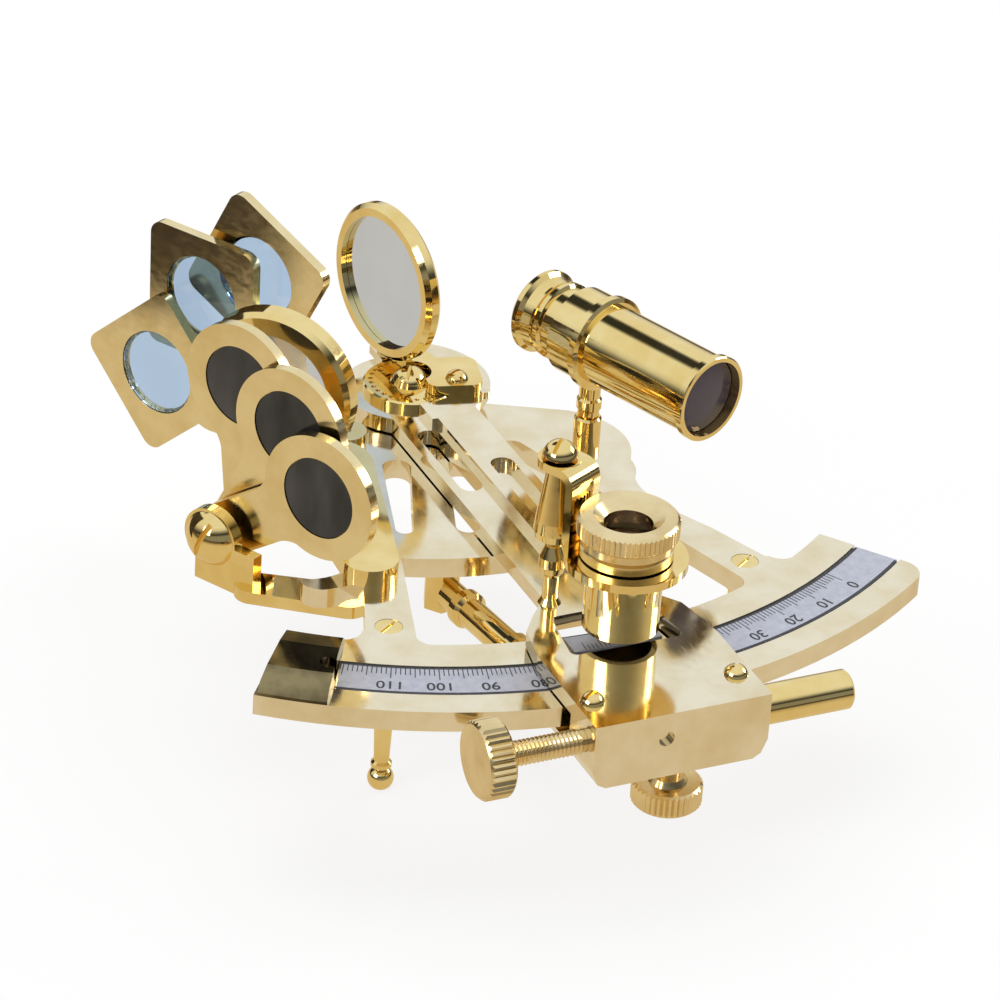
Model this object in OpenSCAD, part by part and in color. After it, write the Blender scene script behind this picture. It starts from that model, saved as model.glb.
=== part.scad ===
/* [Frame] */
// Height of the deck's top face above the table
deck_height = 30; // [28:0.5:34]
// Thickness of the deck plate and limb
deck_thick = 3.5; // [3:0.1:4]
// Inner radius of the limb, from the arm pivot
limb_inner_r = 77.5; // [77:0.1:78]
// Width of the limb
limb_width = 19.5; // [19:0.1:19.8]
// Half of the limb's angle
limb_half = 37.4; // [36.5:0.1:38]
// Distance of the scale strip from the limb's inner edge
scale_inset = 6.7; // [6.5:0.1:7]
// Width of the silvered scale strip
scale_width = 7.5; // [7:0.1:7.8]
// Depth of the groove for the scale strip
scale_depth = 0.8; // [0.6:0.1:1.2]
// Radius of the hub round the pivot
hub_r = 10; // [9.5:0.1:11]
// Distance of the rear foot behind the pivot
rear_foot_y = 11; // [10.5:0.1:12]
// Radius of the two lobes beside the arm
lobe_r = 13; // [12.5:0.1:13.5]
// Inner radius of the crossbar
crossbar_inner_r = 43; // [42.5:0.1:44]
// Outer radius of the crossbar
crossbar_outer_r = 51.5; // [51:0.1:52]

/* [Feet] */
// Side distance of the front feet from the middle
foot_x = 31.4; // [31:0.1:32]
// Distance of the front feet in front of the pivot
foot_y = 65.4; // [65:0.1:66]
// Radius of the foot's flange
foot_flange_r = 3; // [2.8:0.1:3.3]
// Radius of the foot's ball end
foot_ball_r = 2.15; // [2:0.05:2.6]
// Radius of the foot screws' heads
foot_screw_r = 2.25; // [2.1:0.05:2.5]

/* [Handle] */
// Radius of the handle grip
grip_r = 2.5; // [2.2:0.1:3]
// Depth of the handle's axis below the deck's top face
grip_drop = 10; // [9.5:0.1:12]

/* [Index arm] */
// Thickness of the arm plate
arm_thick = 2.7; // [2.4:0.1:2.9]
// Half width of the arm's bar
arm_half = 7; // [6.8:0.1:7.4]
// Radius of the arm's head
arm_head_r = 11.5; // [11:0.1:12]
// Thickness of the raised rail plate
rail_thick = 1.5; // [1.2:0.1:1.6]
// Radius of the pivot shaft
pivot_r = 3; // [2.6:0.1:3.3]
// Radius of the beaded pivot cap
cap_r = 8; // [7.6:0.1:8.3]
// Half width of the arm's foot and of the clamp block
block_half = 15; // [14.5:0.1:15.5]
// Distance of the block's front face from the limb's outer edge
block_lip = 10; // [9.6:0.1:11]
// Height of the clamp block under the arm's lower face
block_drop = 8.7; // [8.4:0.1:9.4]

/* [Index mirror] */
// Outer radius of the index mirror's cell
index_cell_r = 13.8; // [13.4:0.1:14.2]
// Height of the index mirror's centre above the deck
index_mirror_z = 20; // [19.7:0.1:21]
// Turn of the index mirror about the vertical
index_mirror_turn = 12.6; // [11.5:0.1:13.5]

/* [Horizon mirror] */
// Outer radius of the horizon mirror's cell
horizon_cell_r = 14; // [13.6:0.1:14.2]
// Height of the horizon mirror's centre above the deck
horizon_z = 17.1; // [16.9:0.1:17.6]
// Turn of the horizon mirror about the vertical
horizon_turn = 42.6; // [41.5:0.1:43.5]

/* [Shades] */
// Thickness of a shade's frame
shade_thick = 1.8; // [1.6:0.1:2]
// Distance from one shade to the next
shade_pitch = 3; // [2.8:0.1:3.1]
// Radius of the shades' axles
axle_r = 1.5; // [1.3:0.1:1.7]
// Length from axle to glass centre, round shades
round_reach = 23.2; // [22.8:0.1:23.6]
// Outer radius of a round shade
round_r = 10.7; // [10.4:0.1:11]
// Radius of a round shade's glass
round_glass_r = 6.4; // [6:0.1:6.7]
// Length from axle to glass centre, square shades
square_reach = 23.8; // [23.5:0.1:24.2]
// Side of a square shade
square_side = 22.3; // [22:0.1:22.6]
// Radius of a square shade's glass
square_glass_r = 7; // [6.6:0.1:7.3]

/* [Magnifier] */
// Distance from magnifier post to magnifier axis
lens_reach = 13.95; // [13.7:0.05:14.2]
// Outer radius of the magnifier's tube
lens_tube_r = 6.1; // [5.9:0.05:6.2]
// Outer radius of the ring that holds the magnifier
lens_ring_r = 9.8; // [9.4:0.1:10]
// Height of the ring above the deck
lens_ring_z = 16.2; // [16:0.1:16.6]
// Outer radius of the knurled eyepiece
eyepiece_r = 8.1; // [7.9:0.1:8.4]

/* [Telescope] */
// Height of the telescope's axis above the deck
scope_z = 24; // [23.8:0.1:25]
// Angle of the telescope from the middle line
scope_turn = 20.3; // [19:0.1:22]
// Outer radius of the telescope's main tube
scope_r = 6.9; // [6.7:0.1:7.1]
// Length of the main tube in front of the post
scope_front = 26.8; // [26:0.2:27.6]
// Outer radius of the draw tube
draw_r = 6.1; // [5.9:0.05:6.3]

/* [Screws] */
// Radius of the tangent screw's thread
tangent_r = 1.8; // [1.6:0.1:2]
// Radius of the tangent screw's knurled head
tangent_head_r = 6.3; // [6:0.1:6.6]
// Radius of the clamp screw's knurled head
clamp_head_r = 5.7; // [5.4:0.1:6]
// Number of knurls round a screw's head
knurls = 36; // [24:2:48]

/* [Clearances] */
// Radial clearance of a turning shaft in its hole
run_gap = 0.05; // [0.03:0.01:0.08]
// Gap between plates that slide over each other
plate_gap = 0.3; // [0.25:0.05:0.4]
// Gap round a glass in its cell
glass_gap = 0.1; // [0.05:0.05:0.15]

/* [Hidden] */
$fn = 64;
// Depth that outline pieces overlap by, so that they join into one solid
seam = 0.004;
brass = [0.85, 0.68, 0.33];
silver = [0.78, 0.79, 0.82];
smoke = [0.16, 0.16, 0.19];
sky = [0.68, 0.78, 0.88];
e = 0.01;

arm_bottom = plate_gap;
arm_top = arm_bottom + arm_thick;
rail_top = arm_top + rail_thick;
block_bottom = arm_bottom - block_drop;
strip_top = 0;
deck_bottom = -deck_thick;
table_z = -deck_height;

limb_outer_r = limb_inner_r + limb_width;
scale_inner_r = limb_inner_r + scale_inset;
scale_outer_r = scale_inner_r + scale_width;
end_cap_span = 6.8;
block_front = limb_outer_r + block_lip;
block_back = -(limb_outer_r - 8.4);
block_screw_y = -(limb_outer_r + 2.8);
spring_seat = block_half - 4;

// Places, seen from above with the pivot at the middle
lobe_x = 17.5;
lobe_y = -21.5;
waist_x = 35.5;
waist_y = -38.5;
waist_r = 10;
grip_top = [-11.2, -(crossbar_inner_r + 1.8)];
grip_end = [-6.4, -(limb_inner_r + 1.7)];
horizon_place = [-31.3, -16];
front_axle = [-47, -33.5, 2.5];
rear_axle = [-28.2, -4.3, 3];
shade_turn = -61;
magnifier_place = [-6.4, -(limb_inner_r - 6.4)];
magnifier_bearing = -62.7;
scope_post = [19.9, -28.3];
clamp_axis = [5, -(limb_outer_r - 2.7)];
tangent_y = -(block_front - 4);
tangent_z = arm_bottom - 1.9;

module place() { translate([0, -rear_foot_y, deck_height]) children(); }
module mirrored() { children(); mirror([1, 0, 0]) children(); }
// Closed outline from the points of its right side, given upwards
function both_sides(p) = concat(p, [for (i = [len(p) - 1 : -1 : 0]) [-p[i][0], p[i][1]]]);
module at_z(z, h) { translate([0, 0, z]) linear_extrude(h) children(); }

// Outline of a bar with round ends of two radii, with true arcs and tangent sides
module tapered_bar(p, rp, q, rq) {
    d = norm(q - p);
    u = (q - p) / d;
    v = [-u[1], u[0]];
    c = (rp - rq) / d;
    s = sqrt(1 - c * c);
    a = rp - seam;
    b = rq - seam;
    translate(p) circle(rp);
    translate(q) circle(rq);
    polygon([p + a * (c * u - s * v), q + b * (c * u - s * v),
        q + b * (c * u + s * v), p + a * (c * u + s * v)]);
}

// Web that rounds the inner corner b between the edges towards a and c
module corner_web(a, b, c, r) {
    u = (a - b) / norm(a - b);
    w = (c - b) / norm(c - b);
    half = acos(u * w) / 2;
    near = r * 0.99;
    t = near / tan(half);
    m = (u + w) / norm(u + w);
    root = 0.4 * m;
    edge = [b + t * u, b + t * u - root, b - root, b + t * w - root, b + t * w];
    difference() {
        polygon(cross(u, w) > 0 ? [for (i = [4 : -1 : 0]) edge[i]] : edge);
        translate(b + m * near / sin(half)) circle(r);
    }
}

// Sector of a ring, its middle towards the front
module ring_sector(ri, ro, from, to) {
    far = ro * 2;
    intersection() {
        difference() {
            circle(ro, $fn = 128);
            circle(ri, $fn = 128);
        }
        polygon([[0, 0], for (a = [from, (from + to) / 2, to]) far * [sin(a), -cos(a)]]);
    }
}

module rounded_square(w, h, r) {
    for (x = [-1, 1], y = [-1, 1]) translate([x * (w / 2 - r), y * (h / 2 - r)]) circle(r);
    square([w - 2 * r, h - 2 * seam], center = true);
    square([w - 2 * seam, h - 2 * r], center = true);
}

// Knurled disc with small bevels above and below
module knurled_disc(r, h, n, depth) {
    bevel = 0.5;
    intersection() {
        linear_extrude(h)
            polygon([for (i = [0 : 2 * n - 1])
                (r + depth / 3 - (i % 2) * depth * 4 / 3) * [cos(180 * i / n), sin(180 * i / n)]]);
        rotate_extrude()
            polygon([[0, 0], [r - bevel, 0], [r, bevel], [r, h - bevel], [r - bevel, h], [0, h]]);
    }
}

// Domed screw head of radius r and height h, slotted, standing on z = 0
module dome_head(r, h, slot, turn) {
    ball = (r * r + h * h) / (2 * h);
    difference() {
        intersection() {
            translate([0, 0, h - ball]) sphere(ball);
            cylinder(r = r, h = h);
        }
        rotate(turn) translate([-r * 2, -slot / 2, h * 0.45]) cube([r * 4, slot, h]);
    }
}

// Lens with two bulged faces inside the radius r
module lens_body(r, h) {
    bulge = h * 0.25;
    ball = (r * r + bulge * bulge) / (2 * bulge);
    steps = 8;
    edge = [for (i = [0 : steps]) let (x = r * i / steps) [x, h / 2 - ball + sqrt(ball * ball - x * x)]];
    rotate_extrude() polygon([[0, -h / 2], each [for (i = [1 : steps]) [edge[i][0], -edge[i][1]]],
        each [for (i = [steps : -1 : 0]) edge[i]]]);
}

leg_outer = [[26.1, -44.5], [30.9, -54], [36.4, -68]];
leg_inner = [[20.8, -45], [23.6, -54], [28.6, -70]];
opening_top = [0, -22];
opening_side = [7, -41];
opening_r = 2;
lens_slot_top = [10.5, -19.5];
lens_slot_end = [17.2, -38.5];
tab_root = [-28, -48];
tab_end = [-36, -48.5];
tab_r = 3.5;

module leg_outline() {
    reach = limb_inner_r / 77.5;
    foot_out = [38.6, -73.4] * reach;
    foot_in = [30.5, -75.6] * reach;
    polygon([foot_out, leg_outer[2], leg_outer[1], leg_outer[0], [20, -38],
        leg_inner[0], leg_inner[1], leg_inner[2], foot_in]);
    corner_web(leg_outer[1], [37.2, -68.2] * reach, [45, -63.5] * reach, 3);
    corner_web(leg_inner[1], [29.3, -71.9] * reach, [20, -75.2] * reach, 3);
}

module opening_outline() {
    t = opening_r;
    for (p = [opening_top, opening_side, [-opening_side[0], opening_side[1]]]) translate(p) circle(t);
    d = opening_side - opening_top;
    n = [-d[1], d[0]] / norm(d) * (t - seam);
    polygon(both_sides([opening_side - [0, t - seam], opening_side + n, opening_top + n]));
}

// Deck pieces drawn on the middle line
module middle_outline() {
    polygon(both_sides([[25.6, -44], [28, -30], [25.2, -10.9], [12.7, -4.3]]));
    tapered_bar([0, 0], hub_r, [0, rear_foot_y], 4.5);
    ring_sector(crossbar_inner_r, crossbar_outer_r, -30, 30);
    tapered_bar(tab_root, tab_r + 0.6, tab_end, tab_r);
}

// Rounds the limb's outer corner at its right end
module limb_corner_cut(r) {
    round_r = 4;
    rotate(limb_half) translate([0, -r]) difference() {
        translate([-round_r, -1]) square([round_r * 2, round_r + 1]);
        translate([-round_r, round_r]) circle(round_r);
        translate([-round_r * 3, -2]) square([round_r * 2, round_r * 3]);
    }
}

foot_places = [[-foot_x, -foot_y], [foot_x, -foot_y], [0, rear_foot_y]];
foot_bore_r = 1.25;

module frame() place() color(brass) difference() {
    union() {
        at_z(deck_bottom, deck_thick) middle_outline();
        at_z(deck_bottom, deck_thick) difference() {
            ring_sector(limb_inner_r, limb_outer_r, -limb_half, limb_half);
            limb_corner_cut(limb_outer_r);
        }
        mirrored() at_z(deck_bottom, deck_thick) leg_outline();
        mirrored() translate([lobe_x, lobe_y, deck_bottom]) cylinder(r = lobe_r, h = deck_thick);
    }
    mirrored() translate([waist_x, waist_y, deck_bottom - 1]) cylinder(r = waist_r, h = deck_thick + 2);
    mirrored() at_z(deck_bottom - 1, deck_thick + 2) tapered_bar(lens_slot_top, 2.4, lens_slot_end, 1.5);
    at_z(deck_bottom - 1, deck_thick + 2) opening_outline();
    at_z(-scale_depth, 2)
        ring_sector(scale_inner_r - 0.35, scale_outer_r + 0.35, -limb_half - 2, limb_half + 2);
    translate([0, 0, deck_bottom - 1]) cylinder(r = pivot_r + run_gap, h = deck_thick + 2);
    for (p = foot_places) translate(p) {
        translate([0, 0, deck_bottom - 1]) cylinder(r = foot_bore_r, h = deck_thick + 2);
        translate([0, 0, -1.2]) cylinder(r1 = foot_bore_r, r2 = foot_screw_r, h = 1.0);
        translate([0, 0, -0.2]) cylinder(r = foot_screw_r, h = 1);
    }
}

module scale_strip() place() color(silver)
    at_z(-scale_depth, scale_depth - 0.05)
        ring_sector(scale_inner_r, scale_outer_r, -limb_half + end_cap_span + 0.4, limb_half - 0.2);

module limb_end_cap() place() color(brass) {
    rise = 2;
    difference() {
        intersection() {
            linear_extrude(rise + 1) ring_sector(limb_inner_r + 0.4, limb_outer_r - 0.4,
                -limb_half + 0.3, -limb_half + end_cap_span);
            rotate_extrude($fn = 128) polygon([
                [limb_inner_r, 0], [limb_inner_r + 2, rise * 0.75],
                [limb_inner_r + 6, rise + 0.1], [limb_outer_r - 6, rise + 0.1],
                [limb_outer_r - 2, rise * 0.75], [limb_outer_r, 0]]);
        }
        rotate(-limb_half + end_cap_span - 0.6) translate([0, -(scale_inner_r + scale_outer_r) / 2, -1])
            cylinder(r = 1.6, h = rise + 3);
    }
}

module foot_turning() {
    ball_z = table_z + sqrt(foot_ball_r * foot_ball_r - 1.4 * 1.4);
    shank_top = deck_bottom;
    difference() {
        union() {
            rotate_extrude() polygon([[0, shank_top], [foot_flange_r, shank_top],
                [foot_flange_r, shank_top - 1], [2.3, shank_top - 1.6], [2.3, shank_top - 2.8],
                [1.9, shank_top - 3.4], [1.25, ball_z + 3.4], [1.7, ball_z + 3],
                [1.7, ball_z + 2.3], [1.1, ball_z + 1.8], [1.1, ball_z], [0, ball_z]]);
            translate([0, 0, ball_z]) sphere(foot_ball_r);
        }
        translate([0, 0, table_z - 5]) cube([20, 20, 10], center = true);
        translate([0, 0, deck_bottom - 5]) cylinder(r = foot_bore_r, h = 6);
    }
}

module front_feet() place() color(brass)
    for (i = [0, 1]) translate(foot_places[i]) foot_turning();

module rear_foot() place() color(brass) translate(foot_places[2]) foot_turning();

module foot_screws() place() color(brass) for (p = foot_places) translate(p) difference() {
    rotate_extrude() polygon([[0, -0.05], [foot_screw_r - run_gap, -0.05],
        [foot_screw_r - run_gap, -0.2], [foot_bore_r - run_gap, -1.2],
        [foot_bore_r - run_gap, deck_bottom - 4.6], [0, deck_bottom - 4.6]]);
    rotate(35) translate([-4, -0.25, -0.6]) cube([8, 0.5, 2]);
}

grip_vector = grip_end - grip_top;
grip_length = norm(grip_vector);
grip_turn = atan2(grip_vector[1], grip_vector[0]);
collar_r = 3.2;
tenon_r = 1.4;

// Puts x along the handle's axis, from its upper end
module along_grip() {
    translate([grip_top[0], grip_top[1], -grip_drop]) rotate(grip_turn) rotate([0, 90, 0]) children();
}

module handle_grip() place() color(brass) along_grip() rotate_extrude() polygon([
    [0, -2], [tenon_r, -2], [tenon_r, 0], [grip_r, 0], [grip_r, 3.6], [collar_r, 4.2],
    [collar_r, 5.8], [grip_r, 6.4], [grip_r, 18.6], [collar_r, 19.2], [collar_r, 20.8],
    [grip_r, 21.4], [grip_r, grip_length - 2.7], [tenon_r, grip_length - 2.7],
    [tenon_r, grip_length - 0.7], [0, grip_length - 0.7]]);

hex_af = 5.5;
module handle_bracket() place() color(brass) difference() {
    translate([grip_top[0], grip_top[1], -grip_drop - 3.3]) rotate(grip_turn)
        translate([-hex_af / 2 - 0.01, 0, 0]) rotate(30)
            cylinder(r = hex_af / sqrt(3), h = deck_bottom + grip_drop + 3.3, $fn = 6);
    along_grip() translate([0, 0, -2.1]) cylinder(r = tenon_r + run_gap, h = 5);
}

module handle_pillar() place() color(brass) difference() {
    translate([grip_end[0], grip_end[1], -grip_drop - 3]) cylinder(r = 2.6, h = deck_bottom + grip_drop + 3);
    along_grip() translate([0, 0, grip_length - 5]) cylinder(r = tenon_r + run_gap, h = 4.4);
}

base_top = 3;
saddle_half = 5.5;
module base_outline() { tapered_bar([-23, -18.8], 7.8, [-28, -49.5], 4.6); }
module horizon_base() place() color(brass) at_z(0, base_top) base_outline();

cell_thick = 4.5;
horizon_open_r = horizon_cell_r - 3.7;
module at_horizon() {
    translate([horizon_place[0], horizon_place[1], horizon_z]) rotate(horizon_turn) children();
}

// Cell turned about local x: rim in front, seat for the glass behind it
module mirror_cell_turning(r, open_r, thick) {
    rotate([0, 90, 0]) rotate_extrude($fn = 96) polygon([
        [open_r, -thick / 2], [r - 0.8, -thick / 2], [r, -thick / 2 + 0.8],
        [r, thick / 2 - 0.8], [r - 0.8, thick / 2], [open_r + 0.8, thick / 2],
        [open_r + 0.8, -thick / 2 + 1.1], [open_r, -thick / 2 + 1.1]]);
}

module horizon_cell() place() color(brass) {
    at_horizon() mirror_cell_turning(horizon_cell_r, horizon_open_r, cell_thick);
    intersection() {
        difference() {
            at_horizon() translate([-cell_thick / 2 + 0.4, -saddle_half, base_top - horizon_z])
                cube([cell_thick - 0.8, saddle_half * 2, 5]);
            at_horizon() rotate([0, 90, 0])
                cylinder(r = horizon_cell_r - 0.5, h = 20, center = true, $fn = 96);
        }
        at_z(base_top, 6) base_outline();
    }
}

module horizon_glass() place() color(silver) at_horizon()
    translate([-cell_thick / 2 + 1.1 + 1.2, 0, 0]) rotate([0, 90, 0])
        cylinder(r = horizon_open_r + 0.8 - glass_gap, h = 2.2, center = true, $fn = 96);

// Shade axes: x in the shades' plane, y across it, z up
module at_front_axle() { translate(front_axle) rotate(shade_turn) children(); }
module at_rear_axle() { translate(rear_axle) rotate(shade_turn) children(); }
module across(y, h) { translate([0, y, 0]) rotate([-90, 0, 0]) linear_extrude(h) children(); }

front_plate = [-3.4, -1.4];
module front_shade_bracket() place() color(brass) {
    cheek_r = 5.2;
    difference() {
        union() {
            at_front_axle() across(front_plate[0], 2) circle(cheek_r);
            at_front_axle() translate([-2.8, front_plate[0], deck_bottom - 2.2 - front_axle[2]])
                cube([12, 2, 8]);
            at_z(deck_bottom - 2.2, 2.2) tapered_bar([-44.4, -41], 3.2, [-31.5, -49.6], 3.6);
        }
        at_front_axle() across(front_plate[0] - 1, 4) circle(axle_r + run_gap);
    }
}

axle_nut_y = shade_pitch * 2 + shade_thick + plate_gap;
module front_shade_axle() place() color(brass) at_front_axle() {
    across(front_plate[0], axle_nut_y - front_plate[0] + 2.2) circle(axle_r);
    translate([0, front_plate[0], 0]) rotate([90, 0, 0]) dome_head(4.7, 3, 0.9, 70);
}

rear_cheek_y = shade_pitch * 2 + shade_thick + plate_gap;
rear_cheek_thick = 2;
module rear_shade_bracket() place() color(brass) {
    lift = 2.2;
    cheek_middle = rear_cheek_y + rear_cheek_thick / 2;
    rear_pad = [10.1, cheek_middle - 0.1];
    difference() {
        union() {
            at_rear_axle() across(rear_cheek_y, rear_cheek_thick) {
                circle(4.6);
                translate([-3.4, rear_axle[2] - 4.6]) square([10, 4]);
            }
            at_rear_axle() at_z(-rear_axle[2], lift) tapered_bar([4.9, cheek_middle],
                rear_cheek_thick / 2, rear_pad, 3.6);
        }
        at_rear_axle() across(rear_cheek_y - 1, 4) circle(axle_r + run_gap);
        at_rear_axle() translate([rear_pad[0], rear_pad[1], -5]) cylinder(r = 1, h = 10);
    }
}

module rear_shade_axle() place() color(brass) at_rear_axle() {
    across(-2.2, rear_cheek_y + rear_cheek_thick + 2.2 + 2.2) circle(axle_r);
    translate([0, -0.45, 0]) rotate([90, 0, 0]) dome_head(4.2, 2.2, 0.8, 20);
}

module shade_nut() {
    difference() {
        rotate([-90, 0, 0]) cylinder(r = 3.2, h = 2, $fn = 6);
        translate([0, -1, 0]) rotate([-90, 0, 0]) cylinder(r = axle_r + run_gap, h = 4);
    }
}

module shade_nuts() place() color(brass) {
    at_front_axle() translate([0, axle_nut_y, 0]) shade_nut();
    at_rear_axle() translate([0, rear_cheek_y + rear_cheek_thick, 0]) shade_nut();
}

spigot_r = 1.1;
post_r = 2.3;
post_top = 9.4;
module telescope_post() place() color(brass) translate([scope_post[0], scope_post[1], 0])
    difference() {
        rotate_extrude() polygon([[0, 0], [1.7, 0], [1.7, 1], [post_r, 1.8], [post_r, post_top - 0.4],
            [post_r - 0.3, post_top], [0, post_top]]);
        translate([0, 0, 2.4]) cylinder(r = spigot_r + run_gap, h = 10);
    }

arm_foot = [[arm_half, -(limb_inner_r - 7.5)], [(arm_half + block_half - 1) / 2, -(limb_inner_r - 3.5)],
    [block_half - 1.5, -(limb_inner_r + 0.5)], [block_half - 0.2, block_back + 3.6]];
window_top = [8.2, -(limb_inner_r - 2)];
window_end = [9.8, block_back + 1.6];
module arm_outline() {
    circle(arm_head_r);
    translate([-arm_half, arm_foot[0][1] - 1]) square([arm_half * 2, 1 - arm_foot[0][1]]);
    polygon(both_sides([[block_half, block_back], arm_foot[3], arm_foot[2], arm_foot[1], arm_foot[0]]));
}

module index_arm() place() color(brass) difference() {
    at_z(arm_bottom, arm_thick) arm_outline();
    at_z(-1, 8) tapered_bar([-3.4, -16.5], 2, [-3.4, -33.5], 2);
    difference() {
        at_z(-1, 8) polygon(both_sides([window_end, window_top]));
        mirrored() at_z(-2, 10) {
            corner_web([0, window_top[1]], window_top, window_end, 1.2);
            corner_web(window_top, window_end, [0, window_end[1]], 1.2);
        }
    }
    translate([0, 0, -1]) cylinder(r = pivot_r + run_gap, h = 8);
    translate([magnifier_place[0], magnifier_place[1], -1]) cylinder(r = 0.8 + run_gap, h = 8);
}

rail_slot = [[3.4, -31], [3.4, -58]];
module arm_rail() place() color(brass) {
    difference() {
        at_z(arm_top, rail_thick) {
            translate([-0.7, -62]) square([arm_half + 0.7, 60]);
            intersection() {
                circle(13.7);
                translate([-1.7, -14]) square([20, 28]);
            }
            corner_web([7, -30], [7, -11.77], [13, -4.3], 2);
        }
        at_z(arm_top - 1, 8) {
            tapered_bar(rail_slot[0], 2, rail_slot[1], 2);
            circle(cap_r + plate_gap);
        }
    }
    translate([9.8, -9.2, rail_top]) cylinder(r = 0.9, h = 1.2);
}

cap_thick = 1.4;
nut_thick = 2.4;
module pivot_shaft() place() color(brass)
    translate([0, 0, deck_bottom - nut_thick - 0.6])
        cylinder(r = pivot_r, h = arm_top - deck_bottom + nut_thick + 0.6);

module pivot_nut() place() color(brass) difference() {
    translate([0, 0, deck_bottom - plate_gap - nut_thick]) rotate_extrude()
        polygon([[pivot_r + run_gap, 0], [5, 0], [5.5, 0.5], [5.5, nut_thick], [pivot_r + run_gap, nut_thick]]);
    for (a = [0, 90]) translate([0, 0, deck_bottom - plate_gap - nut_thick]) rotate(a)
        translate([-8, -0.5, -0.4]) cube([16, 1, 1]);
}

bead_count = 28;
module pivot_cap() place() color(brass) translate([0, 0, arm_top]) {
    difference() {
        rotate_extrude() polygon([[0, 0], [cap_r, 0], [cap_r, cap_thick - 0.3],
            [cap_r - 0.3, cap_thick], [3.4, cap_thick], [3.1, cap_thick + 0.6], [0, cap_thick + 0.6]]);
        for (i = [0 : bead_count - 1]) rotate(i * 360 / bead_count)
            translate([cap_r - 1.3, 0, cap_thick - 0.3]) cylinder(r = 0.42, h = 1, $fn = 16);
    }
    translate([0, 0, cap_thick + 0.6]) dome_head(3, 2, 0.6, 55);
}

module vernier_scale() place() color(silver) at_z(arm_bottom, 0.9)
    intersection() {
        ring_sector(scale_inner_r - 4.7, scale_inner_r - 0.3, -9, 9);
        translate([-7.6, window_end[1]]) square([15.2, 11]);
    }

index_centre = [-1.7, 7.5];
index_open_r = 11.6;
index_thick = 3;
module at_index() {
    translate([index_centre[0], index_centre[1], index_mirror_z]) rotate(index_mirror_turn) children();
}
module index_mirror_cell() place() color(brass) at_index()
    mirror_cell_turning(index_cell_r, index_open_r, index_thick);

module index_mirror_glass() place() color(silver) at_index()
    translate([(1.1 - index_thick / 2) + 0.9, 0, 0]) rotate([0, 90, 0])
        cylinder(r = index_open_r + 0.8 - glass_gap, h = 1.7, center = true, $fn = 96);

bracket_foot = [5.6, -3.6];
bracket_thick = 1.8;
module index_mirror_bracket() place() color(brass) {
    back = index_thick / 2;
    difference() {
        union() {
            at_z(rail_top, bracket_thick) intersection() {
                union() {
                    translate([6.6, -2.4]) rotate(-13.6) rounded_square(9.6, 10, 2);
                    translate(index_centre) rotate(index_mirror_turn)
                        translate([back, -10]) square([5, 14]);
                }
                circle(13.4);
            }
            at_index() translate([back, -4, rail_top + 1 - index_mirror_z]) cube([1.6, 8, 18]);
        }
        translate([0, 0, rail_top - 1]) cylinder(r = 3.6, h = 8);
        translate([6.5, -4.8, rail_top - 1]) cylinder(r = 1.05, h = 8);
    }
}

module mirror_bracket_screw() place() color(brass)
    translate([6.5, -4.8, rail_top + bracket_thick]) {
        dome_head(2, 1.5, 0.5, 10);
        translate([0, 0, -bracket_thick + 0.01]) cylinder(r = 1, h = bracket_thick);
    }

block_screw_x = [-(block_half - 2.7), block_half - 2.7];
limb_slot_back = limb_outer_r + 1.2;
tangent_bore_r = tangent_r + run_gap;
module clamp_block() place() color(brass) difference() {
    union() {
        translate([0, -block_front, 0]) rotate([-90, 0, 0])
            linear_extrude(block_front + block_back + 4.1)
                polygon(both_sides([[block_half, -arm_bottom], [block_half, -block_bottom - 3.2],
                    [block_half - 1, -block_bottom - 0.8], [block_half - 2.4, -block_bottom]]));
        at_z(arm_bottom, arm_thick) translate([-block_half, -block_front])
            square([block_half * 2, block_front + block_back]);
    }
    translate([-30, -limb_slot_back, deck_bottom - 1.7]) cube([60, 30, -deck_bottom + 1.7 + arm_bottom]);
    translate([-block_half - 1, block_back, arm_bottom]) cube([60, 30, 10]);
    translate([-block_half - 1, tangent_y, tangent_z]) rotate([0, 90, 0])
        cylinder(r = tangent_bore_r, h = 15);
    translate([spring_seat - 0.1, tangent_y, tangent_z]) rotate([0, 90, 0])
        cylinder(r = spring_tube_r + run_gap, h = 9);
    translate([clamp_axis[0], clamp_axis[1], block_bottom - 1]) cylinder(r = 1.8 + run_gap, h = 5);
    translate([-2.7, -block_front - 1, -1.5]) rotate([-90, 0, 0]) cylinder(r = 1.3, h = 2);
    for (x = block_screw_x) translate([x, block_screw_y, arm_top - 1.5]) cylinder(r = 1 + run_gap, h = 5);
}

module block_screws() place() color(brass) for (x = block_screw_x)
    translate([x, block_screw_y, arm_top]) {
        dome_head(2, 1.6, 0.6, x > 0 ? 60 : 15);
        translate([0, 0, -1.4]) cylinder(r = 1, h = 1.41);
    }

spring_tube_r = 3.2;
spring_tube_length = 19.5;
module along_tangent(x) { translate([x, tangent_y, tangent_z]) rotate([0, 90, 0]) children(); }
module spring_tube() place() color(brass) along_tangent(spring_seat) difference() {
    rotate_extrude() polygon([[0, 0], [spring_tube_r, 0], [spring_tube_r, spring_tube_length - 0.4],
        [spring_tube_r - 0.4, spring_tube_length], [0, spring_tube_length]]);
    translate([0, 0, -1]) cylinder(r = spring_tube_r - 0.8, h = spring_tube_length - 0.2);
}

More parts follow.
